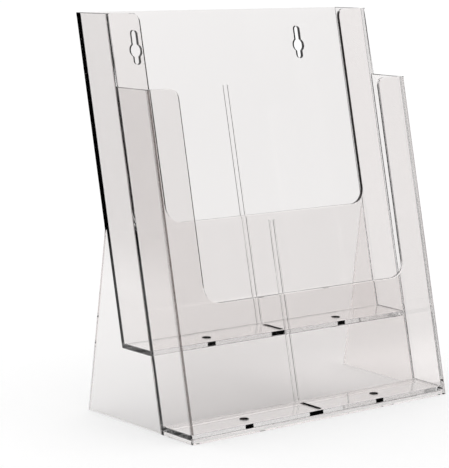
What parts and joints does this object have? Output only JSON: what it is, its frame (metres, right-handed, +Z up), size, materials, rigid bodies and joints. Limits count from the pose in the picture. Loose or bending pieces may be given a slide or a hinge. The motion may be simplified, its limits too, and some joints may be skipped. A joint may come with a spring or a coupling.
{
  "type": "leaflet rack",
  "caption": "Clear plastic magazine and leaflet rack with stepped leaning pockets, free standing on side legs or hung by keyholes.",
  "frame": {"origin": "on the ground plane, under the middle of the rack's overall box", "axes": "+Z up, -Y towards the front, where the pockets face, +X to the right of someone looking at the front"},
  "size_m": [0.2434, 0.1346, 0.2845],
  "materials": {
    "clear_plastic": "clear, polished"
  },
  "bodies": {
    "root": {"side_panel_left": "clear_plastic", "side_panel_right": "clear_plastic", "back_plate": "clear_plastic", "middle_plate": "clear_plastic", "front_plate": "clear_plastic", "rear_floor": "clear_plastic", "front_floor": "clear_plastic", "rear_rib_left": "clear_plastic", "rear_rib_right": "clear_plastic", "front_rib_left": "clear_plastic", "front_rib_right": "clear_plastic"}
  },
  "joints": []
}
